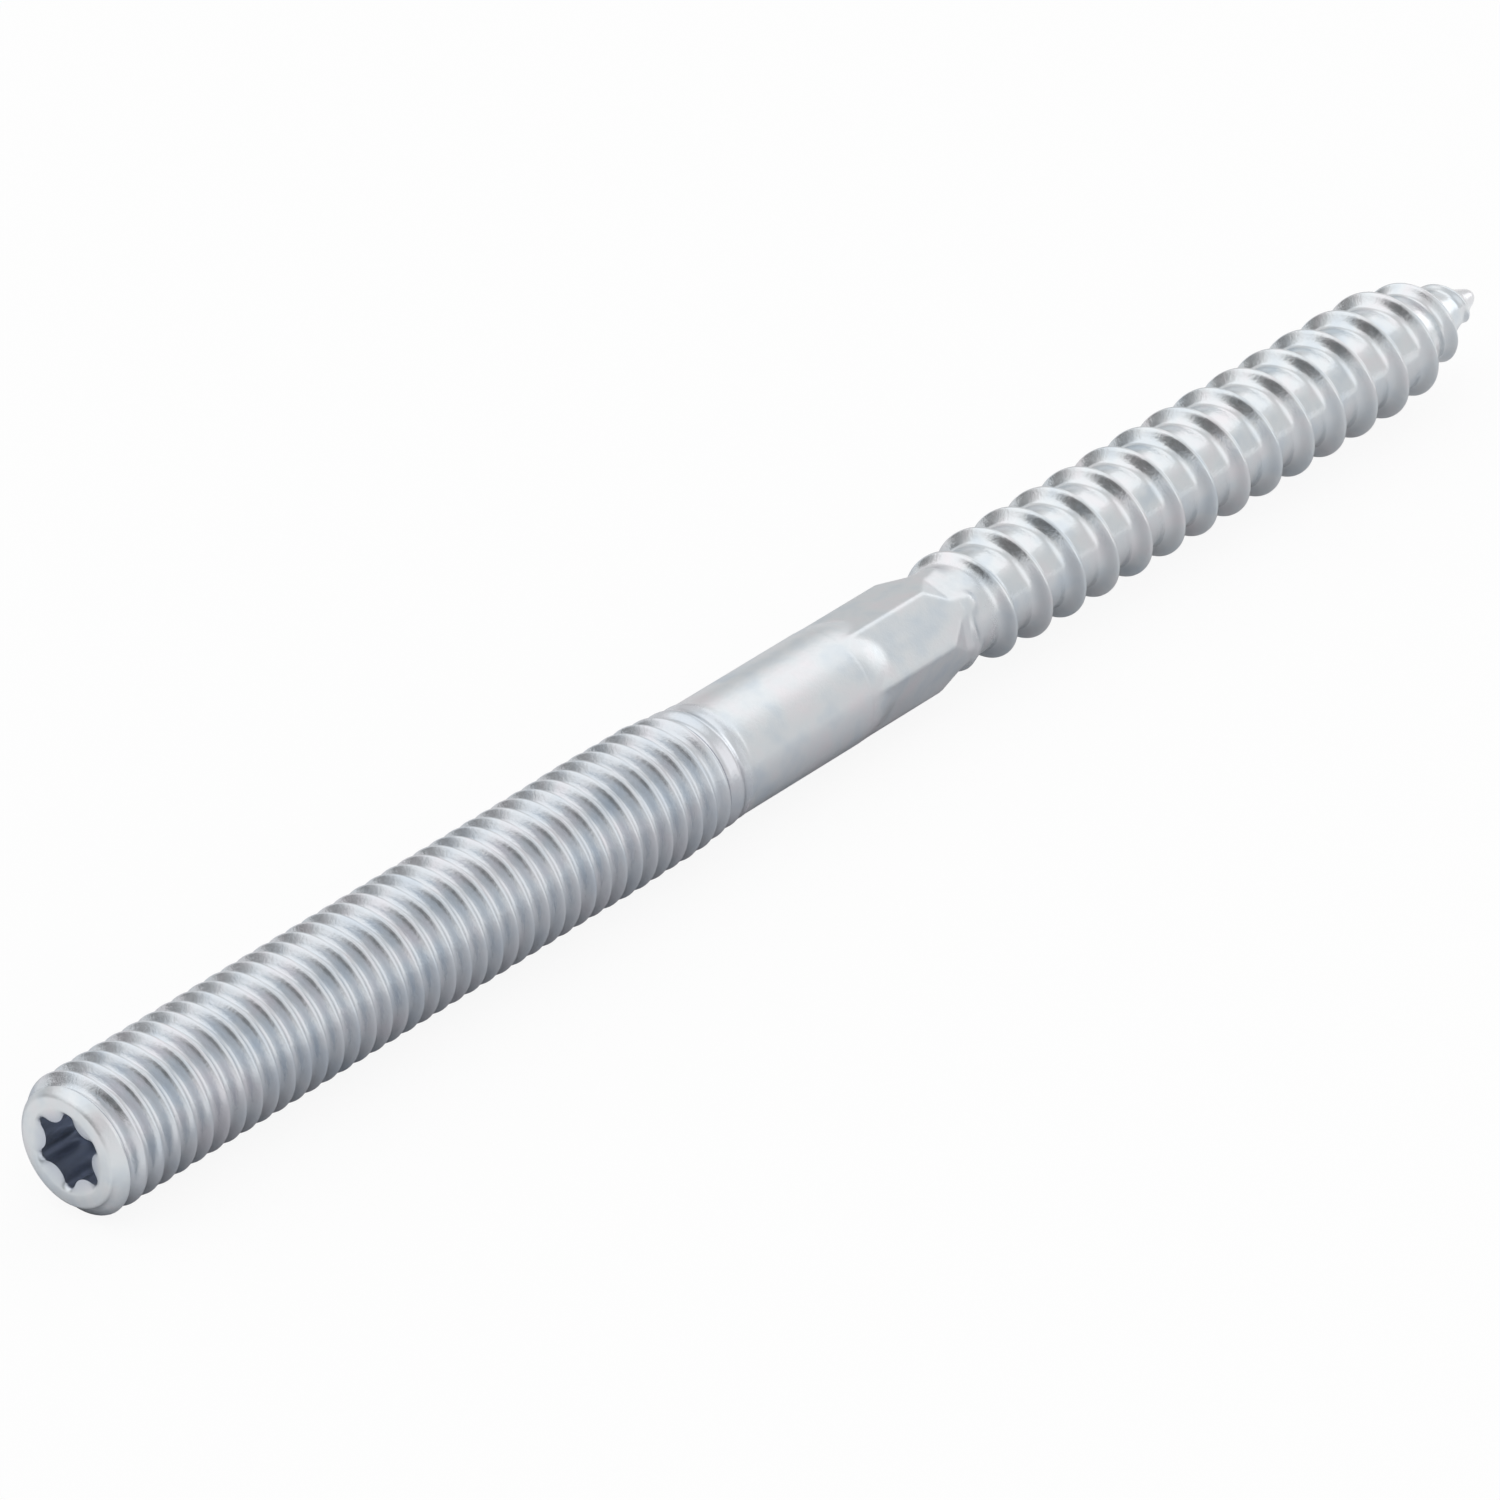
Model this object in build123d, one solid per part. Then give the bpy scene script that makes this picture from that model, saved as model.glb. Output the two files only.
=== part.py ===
"""Double-threaded screw, the kind also called a hanger bolt, as one solid.

A machine-thread length with a six-lobed driver recess in its end face, a plain shank, a short
pressed hexagon, and a coarse wood thread that ends in a gimlet point. The machine thread stands
here at its full diameter, with the chamfer and the run-out but without its fine grooves. The screw
is worked out along +Z, machine end at z = 0, and laid along +X at the very end. Sizes are
millimetres and degrees.
"""

import os
from math import ceil, cos, pi, radians, sin

from build123d import *

# Whole screw
LENGTH = 120.0  # end face to the tip of the point
SHANK_DIAMETER = 7.05  # the rolling blank, left plain between the threads

# Machine-thread length, M8
MACHINE_DIAMETER = 8.0
MACHINE_FULL_END = 40.0  # from here the rolling dies let go and the thread loses a little height
MACHINE_EASING = 0.035  # height lost on the way to the run-out
MACHINE_EASING_POWER = 1.5  # over 1 it is lost slowly at first
MACHINE_EASING_STEPS = 3
MACHINE_RUNOUT_START = 47.2
MACHINE_RUNOUT_END = 51.0  # where the thread has faded into the shank
END_FACE_DIAMETER = 6.3
END_CHAMFER = 0.8  # length of the chamfer along the screw

# Driver recess, six-lobed size 25
RECESS_TIP_DIAMETER = 4.5  # across the lobe tips
RECESS_WAIST_DIAMETER = 3.26  # across the inward bulges
RECESS_LOBE_RADIUS = 0.38
RECESS_DEPTH = 3.0
RECESS_CONE_DEPTH = 0.5  # the punch leaves a shallow cone in the floor
RECESS_MOUTH_DIAMETER = 4.8
RECESS_MOUTH_DEPTH = 0.22
RECESS_TURN = 0.7
LOBES = 6

# Cutting shapes reach this far past what they cut, and the cone's rim stays clear of the bulges
CUT_OVERLAP = 0.1
CONE_CLEARANCE = 0.02

# Pressed hexagon, its corners level with the shank, and the neck behind it
HEX_START = 60.6  # where the corners of the flats begin
HEX_NOSE = 2.5  # how far the blunt shoulder reaches over each flat
NOSE_BROW_SHARE = 0.33  # the shoulder's brow stands this share of the way down to the flat
NOSE_BROW_PLACE = 0.5  # and this share of the way along
HEX_END = 67.5  # where the corners end and the neck starts to narrow
HEX_TURN = 16.7
NECK_END = 70.8
NECK_DEPTH = 0.725  # how far the neck narrows below the shank

# Wood thread and its gimlet point
WOOD_DIAMETER = 7.35
WOOD_PITCH = 3.0
WOOD_CREST_WIDTH = 0.2
WOOD_RIDGE_WIDTH = 1.2  # at the core
WOOD_START = 70.4  # where the ridge comes out of the neck
WOOD_RISE = 6.0  # length over which it grows to full height
WOOD_RISE_POWER = 0.6  # under 1 it grows fast at first
WOOD_PHASE = 31.7  # degrees that the ridge is turned about the axis
POINT_CORE_START = 111.5
POINT_CREST_START = 110.5
POINT_CORE_POWER = 1.3  # a straight taper would be 1, a blunter point more
POINT_CREST_POWER = 1.8
POINT_RIDGE = 0.25  # the ridge keeps at least this height until just before the tip
POINT_RIDGE_FADE = 1.2
TIP_DIAMETER = 0.4

# The threaded bar stands this much inside the plain part where the two are joined
JOINT_STEP = 0.05
# How finely the helical edges are fitted
POINTS_PER_TURN = 24
FIT_TOLERANCE = 0.001
# The seams of the round surfaces lie this many degrees beside the underside, so that a mesh made
# of the screw lies on a narrow flat there and not on an edge
PLAIN_SEAM_TURN = 4.29
WOOD_SEAM_TURN = -4.23

SHANK_RADIUS = SHANK_DIAMETER / 2
MACHINE_RADIUS = MACHINE_DIAMETER / 2
FADED_RADIUS = MACHINE_RADIUS - MACHINE_EASING
WOOD_RADIUS = WOOD_DIAMETER / 2
WOOD_ROOT_RADIUS = SHANK_RADIUS - NECK_DEPTH
TIP_RADIUS = TIP_DIAMETER / 2
HEX_FLAT_RADIUS = SHANK_RADIUS * cos(radians(30))
# The plain part ends on the neck, where that has narrowed to just under the flats
NECK_JOINT_RADIUS = HEX_FLAT_RADIUS - JOINT_STEP
NECK_SLOPE = NECK_DEPTH / (NECK_END - HEX_END)
NECK_JOINT = HEX_END + (SHANK_RADIUS - NECK_JOINT_RADIUS) / NECK_SLOPE


def blend(z, z_low, z_high, low, high):
    """Straight change from low at z_low to high at z_high, held level outside."""
    share = min(max((z - z_low) / (z_high - z_low), 0.0), 1.0)
    return low + (high - low) * share


def eased(z, z_low, z_high, low, high, power):
    """The same change along a curve, fast at first for a power under 1."""
    share = min(max((z - z_low) / (z_high - z_low), 0.0), 1.0)
    return low + (high - low) * share**power


def neck(z):
    """Radius of the neck between the hexagon and the wood thread."""
    return blend(z, HEX_END, NECK_END, SHANK_RADIUS, WOOD_ROOT_RADIUS)


def wood_core(z):
    """Radius of the wood thread's core, from inside the neck to the tip."""
    if z < POINT_CORE_START:
        return min(NECK_JOINT_RADIUS - JOINT_STEP, neck(z))
    return eased(z, POINT_CORE_START, LENGTH, WOOD_ROOT_RADIUS, TIP_RADIUS, POINT_CORE_POWER)


def wood_crest(z):
    """Radius of the wood thread's crest, grown out of the neck and run down the point."""
    rise = eased(z, WOOD_START, WOOD_START + WOOD_RISE, wood_core(WOOD_START), WOOD_RADIUS, WOOD_RISE_POWER)
    point = eased(z, POINT_CREST_START, LENGTH, WOOD_RADIUS, 0, POINT_CREST_POWER)
    if z > POINT_CORE_START:
        point = max(point, wood_core(z) + blend(z, LENGTH - POINT_RIDGE_FADE, LENGTH, POINT_RIDGE, 0))
    return max(wood_core(z), min(rise, point))


def turn_edge(start, pitch, turn, radius):
    """One turn of a helix whose radius follows a formula of z."""

    def at(step):
        angle = 2 * pi * step / POINTS_PER_TURN
        z = start + pitch * (turn + step / POINTS_PER_TURN)
        return Vector(radius(z) * cos(angle), radius(z) * sin(angle), z)

    points = [at(step) for step in range(POINTS_PER_TURN + 1)]
    return Edge.make_spline_approx(points, tol=FIT_TOLERANCE, max_deg=8)


def threaded_bar(start, turns, pitch, core, crest, ridge_width, crest_width):
    """A bar with a helical ridge, closed at each end by one turn of a helical floor."""
    rims = [
        (core, 0),
        (crest, (ridge_width - crest_width) / 2),
        (crest, (ridge_width + crest_width) / 2),
        (core, ridge_width),
    ]
    edges = [[turn_edge(start + at, pitch, turn, radius) for radius, at in rims] for turn in range(turns)]
    edges.append([turn_edge(start, pitch, turns, core)])
    faces = []
    for turn in range(turns):
        run = edges[turn] + [edges[turn + 1][0]]
        faces += [Face.make_surface_from_curves(a, b) for a, b in zip(run, run[1:])]
    for turn, place in ((0, 0), (turns - 1, 1)):
        profile = [edge @ place for edge in edges[turn]] + [edges[turn + 1][0] @ place]
        loop = profile + [Vector(0, 0, profile[-1].Z), Vector(0, 0, profile[0].Z)]
        sides = [Edge.make_line(a, b) for a, b in zip(loop, loop[1:] + loop[:1])]
        faces.append(Face(Wire(sides)))
    for rim in (edges[0][0], edges[turns][0]):
        spine = Edge.make_line((0, 0, (rim @ 0).Z), (0, 0, (rim @ 1).Z))
        faces.append(Face.make_surface_from_curves(spine, rim))
    return Solid(Shell(faces))


def wood_thread():
    """The threaded bar from inside the neck to the tip, cut square at the tip."""
    # The first turn, which has no ridge yet, is hidden in the plain part
    start = NECK_JOINT + WOOD_PITCH * ((WOOD_PHASE + WOOD_SEAM_TURN) / 360 - 2)
    turns = ceil((LENGTH - start) / WOOD_PITCH) + 1
    bar = threaded_bar(
        start,
        turns,
        WOOD_PITCH,
        wood_core,
        wood_crest,
        WOOD_RIDGE_WIDTH,
        WOOD_CREST_WIDTH,
    )
    beyond = Solid.make_cylinder(WOOD_RADIUS, 4 * WOOD_PITCH, Plane.XY.offset(LENGTH))
    return (bar - beyond).rotate(Axis.Z, WOOD_SEAM_TURN)


def plain_part():
    """Everything before the wood thread: turned, then pressed, then punched for the driver."""
    stretch = (MACHINE_RUNOUT_START - MACHINE_FULL_END) / MACHINE_EASING_STEPS
    places = [MACHINE_FULL_END + stretch * step for step in range(MACHINE_EASING_STEPS + 1)]
    eased_radii = [
        eased(z, MACHINE_FULL_END, MACHINE_RUNOUT_START, MACHINE_RADIUS, FADED_RADIUS, MACHINE_EASING_POWER)
        for z in places
    ]
    with BuildPart() as made:
        with BuildSketch(Plane.XZ):
            Polygon(
                (0, 0),
                (END_FACE_DIAMETER / 2, 0),
                (MACHINE_RADIUS, END_CHAMFER),
                *zip(eased_radii, places),
                (SHANK_RADIUS, MACHINE_RUNOUT_END),
                (SHANK_RADIUS, HEX_END),
                (NECK_JOINT_RADIUS, NECK_JOINT),
                (0, NECK_JOINT),
                align=None,
            )
        revolve(axis=Axis.Z)
    return made.part.rotate(Axis.Z, PLAIN_SEAM_TURN) - hexagon_cutter() - recess()


def hexagon_cutter():
    """What the press takes away: all outside the hexagon, but for the blunt shoulder."""
    beyond = SHANK_RADIUS + CUT_OVERLAP
    flat = HEX_FLAT_RADIUS - JOINT_STEP
    tip = HEX_START + HEX_NOSE
    brow = (blend(NOSE_BROW_SHARE, 0, 1, SHANK_RADIUS, flat), HEX_START + HEX_NOSE * NOSE_BROW_PLACE)
    with BuildPart() as made:
        with BuildSketch(Plane.XY.offset(HEX_START)):
            Circle(beyond)
            RegularPolygon(HEX_FLAT_RADIUS, 6, major_radius=False, rotation=HEX_TURN, mode=Mode.SUBTRACT)
        extrude(amount=NECK_END - HEX_START)
        with BuildSketch(Plane.XZ):
            Polygon((0, HEX_START), (SHANK_RADIUS, HEX_START), brow, (flat, tip), (0, tip), align=None)
        revolve(axis=Axis.Z, mode=Mode.SUBTRACT)
    return made.part


def recess():
    """The six-lobed driver recess with its bevelled mouth and coned floor."""
    lobe, waist, half = RECESS_LOBE_RADIUS, RECESS_WAIST_DIAMETER / 2, radians(180 / LOBES)
    reach = RECESS_TIP_DIAMETER / 2 - lobe
    # Radius of the inward bulges, so that they run smoothly into the lobes
    bulge = (reach**2 + waist**2 - 2 * reach * waist * cos(half) - lobe**2) / (
        2 * (lobe - waist + reach * cos(half))
    )
    far = waist + bulge
    share = lobe / (lobe + bulge)
    joint = (
        reach + share * (far * cos(half) - reach),
        share * far * sin(half),
    )
    with BuildPart() as made:
        with BuildSketch():
            with BuildLine():
                for i in range(LOBES):
                    turn = RECESS_TURN + i * 360 / LOBES
                    before = Vector(joint[0], -joint[1]).rotate(Axis.Z, turn)
                    tip = Vector(RECESS_TIP_DIAMETER / 2, 0).rotate(Axis.Z, turn)
                    after = Vector(*joint).rotate(Axis.Z, turn)
                    dip = Vector(waist, 0).rotate(Axis.Z, turn + 180 / LOBES)
                    following = Vector(joint[0], -joint[1]).rotate(Axis.Z, turn + 360 / LOBES)
                    ThreePointArc(before, tip, after)
                    ThreePointArc(after, dip, following)
            make_face()
        extrude(amount=RECESS_DEPTH)
        with BuildSketch(Plane.XZ):
            mouth = RECESS_MOUTH_DIAMETER / 2
            Polygon(
                (0, 0), (mouth, 0), (mouth - RECESS_MOUTH_DEPTH, RECESS_MOUTH_DEPTH), (0, RECESS_MOUTH_DEPTH),
                align=None,
            )
            rim = waist - CONE_CLEARANCE
            Polygon(
                (0, RECESS_DEPTH - CUT_OVERLAP), (rim, RECESS_DEPTH - CUT_OVERLAP), (rim, RECESS_DEPTH),
                (0, RECESS_DEPTH + RECESS_CONE_DEPTH), align=None,
            )
        revolve(axis=Axis.Z)
    return made.part


def screw():
    """The finished screw, laid along +X with its lowest crest on z = 0."""
    form = plain_part().solids()[0].fuse(wood_thread())
    laid = form.rotate(Axis.Y, 90)
    return laid.translate((-LENGTH / 2, 0, MACHINE_RADIUS))


os.makedirs("parts", exist_ok=True)
export_step(screw(), "parts/double_threaded_screw.step")
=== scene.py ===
"""Looks of a double-threaded screw, a hanger bolt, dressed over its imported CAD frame.

The screw is one piece of zinc-plated steel. Its machine thread, pressed hexagon, wood thread and
driver recess are made as four lengths of one closed skin and joined at the end. Stations along the
screw are millimetres from the machine end; everything in Blender is in metres.
"""

import logging
from dataclasses import dataclass, field
from enum import Enum
from math import atan2, cos, hypot, pi, radians, sin
from typing import Callable

import bmesh
import bpy
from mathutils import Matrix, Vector


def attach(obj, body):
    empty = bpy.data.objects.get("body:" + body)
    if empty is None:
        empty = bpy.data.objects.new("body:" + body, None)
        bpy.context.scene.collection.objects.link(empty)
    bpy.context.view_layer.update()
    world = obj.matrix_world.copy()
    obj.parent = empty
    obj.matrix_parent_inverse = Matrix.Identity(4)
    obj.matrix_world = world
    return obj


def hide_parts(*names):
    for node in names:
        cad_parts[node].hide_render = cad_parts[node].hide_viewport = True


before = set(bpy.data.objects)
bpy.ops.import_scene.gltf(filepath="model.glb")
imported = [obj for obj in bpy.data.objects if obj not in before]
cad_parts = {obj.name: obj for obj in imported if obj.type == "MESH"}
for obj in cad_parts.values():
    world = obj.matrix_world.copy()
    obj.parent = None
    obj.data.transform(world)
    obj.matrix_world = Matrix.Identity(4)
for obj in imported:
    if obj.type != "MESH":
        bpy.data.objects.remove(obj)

log = logging.getLogger("screw")

MM = 0.001
LENGTH = 120.0  # millimetres from the end face to the tip
AXIS_HEIGHT = 4.0  # millimetres above the surface that the screw lies on
NODE = "double_threaded_screw"

SIXTH_TURN = pi / 3  # between two flats, or two lobes
SAME_PLACE = 1e-7  # metres within which two points of a cut or a winding are one
WOUND_MERGE = 2e-6  # the same where a winding closes on itself
SKIN_MERGE = 1e-6  # the same where the lengths are joined
SEAM_MARGIN = 0.01  # millimetres on either side of a seam in which its rim is looked for
SMOOTH_UNDER = 50.0  # degrees between faces that still shade as one surface
WHITE = (1.0, 1.0, 1.0, 1.0)

# Sockets of Blender's Mix node, which has the same names once for numbers and once for colours
MIX_SHARE, MIX_FROM_NUMBER, MIX_TO_NUMBER, MIX_FROM_COLOUR, MIX_TO_COLOUR = 0, 2, 3, 6, 7
MIXED_NUMBER, MIXED_COLOUR = 0, 2


class Side(Enum):
    """Which side of a cutting plane is taken away."""

    MACHINE_END = "towards the machine end"
    POINT = "towards the point"


# Small helpers


def linear(hex_colour: str) -> tuple[float, float, float, float]:
    """Turn an sRGB hex colour into the linear values that Blender's sockets take.

    Args:
        hex_colour: Six hex digits with a leading hash.

    Returns:
        Red, green, blue and an alpha of 1, linear.
    """
    parts = [int(hex_colour[i : i + 2], 16) / 255 for i in (1, 3, 5)]
    bent = [c / 12.92 if c <= 0.04045 else ((c + 0.055) / 1.055) ** 2.4 for c in parts]
    return (bent[0], bent[1], bent[2], 1.0)


def ramp(
    at: float, low_at: float, high_at: float, low: float, high: float, power: float = 1.0
) -> float:
    """Change from one value to another along a curve, held level outside.

    Args:
        at: Where the value is wanted.
        low_at: Where the change starts.
        high_at: Where it ends.
        low: Value at the start.
        high: Value at the end.
        power: 1 is straight, under 1 is fast at first.

    Returns:
        The value there.
    """
    share = min(max((at - low_at) / (high_at - low_at), 0.0), 1.0)
    return low + (high - low) * share**power


def smooth(share: float) -> float:
    """Ease a share between 0 and 1 in and out."""
    share = min(max(share, 0.0), 1.0)
    return share * share * (3 - 2 * share)


def soft_least(a: float, b: float, width: float) -> float:
    """Take the lesser of two lengths with the corner between them rounded over a width."""
    gap = max(width - abs(a - b), 0.0) / width
    return min(a, b) - gap * gap * width / 4


def soft_most(a: float, b: float, width: float) -> float:
    """Take the greater of two lengths with the corner between them rounded over a width."""
    return -soft_least(-a, -b, width)


def from_nearest_sixth(turn: float, first: float) -> float:
    """Give the angle between a direction and the nearest of six that are spaced evenly.

    Args:
        turn: The direction, in radians.
        first: One of the six, in degrees.

    Returns:
        The angle, from 0 to half of a sixth of a turn.
    """
    away = (turn - radians(first)) % SIXTH_TURN
    return min(away, SIXTH_TURN - away)


def station_of(point: Vector) -> float:
    """Give a point's distance from the machine end in millimetres."""
    return point.x / MM + LENGTH / 2


def turned(point: Vector) -> tuple[float, float]:
    """Give a point's radius in millimetres and its turn about the axis from straight down."""
    across, up = point.y / MM, point.z / MM - AXIS_HEIGHT
    return hypot(across, up), atan2(across, -up)


def place(station: float, radius: float, turn: float) -> Vector:
    """Turn the screw's own measures into a point in Blender's space.

    Args:
        station: Millimetres from the machine end.
        radius: Millimetres from the axis.
        turn: Direction from straight down, in radians.

    Returns:
        The point, in metres.
    """
    return Vector(
        (
            (station - LENGTH / 2) * MM,
            radius * sin(turn) * MM,
            (AXIS_HEIGHT - radius * cos(turn)) * MM,
        )
    )


def deselect_all() -> None:
    """Leave object mode with nothing selected and nothing active."""
    if bpy.context.mode != "OBJECT":
        bpy.ops.object.mode_set(mode="OBJECT")
    bpy.ops.object.select_all(action="DESELECT")
    bpy.context.view_layer.objects.active = None


def take_up(piece: bpy.types.Object) -> None:
    """Make one piece the only selected and active one.

    Args:
        piece: The piece to work on.
    """
    deselect_all()
    piece.select_set(True)
    bpy.context.view_layer.objects.active = piece


def edit(piece: bpy.types.Object, kind: str = "VERT") -> None:
    """Open a piece for edge or vertex work with nothing in it selected.

    Args:
        piece: The piece to open.
        kind: What is picked in it, VERT or EDGE.
    """
    take_up(piece)
    bpy.ops.object.mode_set(mode="EDIT")
    bpy.ops.mesh.select_mode(type=kind)
    bpy.ops.mesh.select_all(action="DESELECT")


def shape(piece: bpy.types.Object, radius_at: Callable[[float, float, float], float]) -> None:
    """Move every point of a piece in or out from the screw's axis.

    Args:
        piece: The piece, in object mode.
        radius_at: Gives the new radius from a point's station, turn and radius.
    """
    for point in piece.data.vertices:
        radius, turn = turned(point.co)
        station = station_of(point.co)
        point.co = place(station, radius_at(station, turn, radius), turn)
    piece.data.update()


def cut(piece: bpy.types.Object, station: float, side: Side) -> None:
    """Cut a piece square to the axis and take away one side of it.

    Args:
        piece: The piece to cut.
        station: Where, in millimetres from the machine end.
        side: The side that goes.
    """
    edit(piece)
    bpy.ops.mesh.select_all(action="SELECT")
    bpy.ops.mesh.bisect(
        plane_co=place(station, 0, 0),
        plane_no=(1, 0, 0),
        clear_inner=side is Side.MACHINE_END,
        clear_outer=side is Side.POINT,
        threshold=SAME_PLACE,
    )
    bpy.ops.object.mode_set(mode="OBJECT")


def ring(name: str, count: int, station: float, radius: float) -> bpy.types.Object:
    """Add an open circle about the axis, the start of a length that is extruded from it.

    Args:
        name: Name of the new piece.
        count: Number of points.
        station: Where it stands, in millimetres from the machine end.
        radius: Its radius in millimetres.

    Returns:
        The circle, with its place in its mesh.
    """
    deselect_all()
    bpy.ops.mesh.primitive_circle_add(
        vertices=count,
        radius=radius * MM,
        fill_type="NOTHING",
        location=place(station, 0, 0),
        rotation=(0, pi / 2, 0),
    )
    made = bpy.context.object
    made.name = made.data.name = name
    bpy.ops.object.transform_apply(location=True, rotation=True, scale=True)
    return made


def draw_out(piece: bpy.types.Object, stations: list[float]) -> None:
    """Extrude a piece's open end along the axis, one ring at each station.

    Args:
        piece: A piece whose end nearest the point is an open ring.
        stations: Where the new rings stand, in millimetres, rising.
    """
    edit(piece)
    bpy.ops.mesh.select_all(action="SELECT")
    here = max(station_of(point.co) for point in piece.data.vertices)
    for station in stations:
        bpy.ops.mesh.extrude_region_move(
            TRANSFORM_OT_translate={"value": ((station - here) * MM, 0, 0)}
        )
        here = station
    bpy.ops.object.mode_set(mode="OBJECT")


def bridge(piece: bpy.types.Object, low: float, high: float) -> None:
    """Close the gap between two open rims of one piece.

    Args:
        piece: The piece that holds both rims.
        low: Nothing before this station is touched.
        high: Nothing after this station is touched.
    """
    edit(piece, "EDGE")
    mesh = bmesh.from_edit_mesh(piece.data)
    for edge in mesh.edges:
        inside = all(low <= station_of(point.co) <= high for point in edge.verts)
        edge.select_set(inside and edge.is_boundary)
    bmesh.update_edit_mesh(piece.data)
    bpy.ops.mesh.bridge_edge_loops()
    bpy.ops.object.mode_set(mode="OBJECT")


# The screw's four lengths


@dataclass
class Helix:
    """A rolled helical form, made from the outline of one pitch of it."""

    name: str
    pitch: float
    crest_at: float  # station of a crest straight below the axis
    start: float
    end: float
    steps: int
    outline: list[tuple[float, float]]  # place along the pitch from the crest, radius

    def build(self) -> bpy.types.Object:
        """Draw the outline as a chain of edges and wind it round the axis.

        Returns:
            A tube that reaches at least a turn past both ends.
        """
        before = int((self.crest_at - self.start) / self.pitch) + 2
        first = self.crest_at - before * self.pitch
        turns = int((self.end - first) / self.pitch) + 2
        deselect_all()
        bpy.ops.mesh.primitive_plane_add(size=MM, location=place(first, 0, 0))
        made = bpy.context.object
        made.name = made.data.name = self.name
        bpy.ops.object.transform_apply(location=True, rotation=True, scale=True)
        edit(made, "EDGE")
        mesh = bmesh.from_edit_mesh(made.data)
        mesh.edges.ensure_lookup_table()
        keep = mesh.edges[0]
        bmesh.ops.delete(mesh, geom=[e for e in mesh.edges if e is not keep], context="EDGES")
        for edge in mesh.edges:
            edge.select_set(True)
        bmesh.update_edit_mesh(made.data)
        bpy.ops.mesh.subdivide(number_cuts=len(self.outline) - 2)
        mesh = bmesh.from_edit_mesh(made.data)
        chain = sorted(mesh.verts, key=lambda point: (point.co.x, point.co.y))
        for point, (along, radius) in zip(chain, self.outline):
            point.co = place(first + along, radius, 0)
        bmesh.update_edit_mesh(made.data)
        bpy.ops.object.mode_set(mode="OBJECT")
        wind = made.modifiers.new("wind", "SCREW")
        wind.axis = "X"
        wind.angle = 2 * pi
        wind.screw_offset = self.pitch * MM
        wind.iterations = turns
        wind.steps = wind.render_steps = self.steps
        wind.use_merge_vertices = True
        wind.merge_threshold = SAME_PLACE
        # The modifier winds about the object's own origin, so that is put on the axis
        for point in made.data.vertices:
            point.co.z -= AXIS_HEIGHT * MM
        made.location = (0, 0, AXIS_HEIGHT * MM)
        bpy.ops.object.modifier_apply(modifier="wind")
        bpy.ops.object.transform_apply(location=True, rotation=True, scale=True)
        edit(made)
        bpy.ops.mesh.select_all(action="SELECT")
        bpy.ops.mesh.remove_doubles(threshold=WOUND_MERGE)
        bpy.ops.object.mode_set(mode="OBJECT")
        return made


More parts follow.
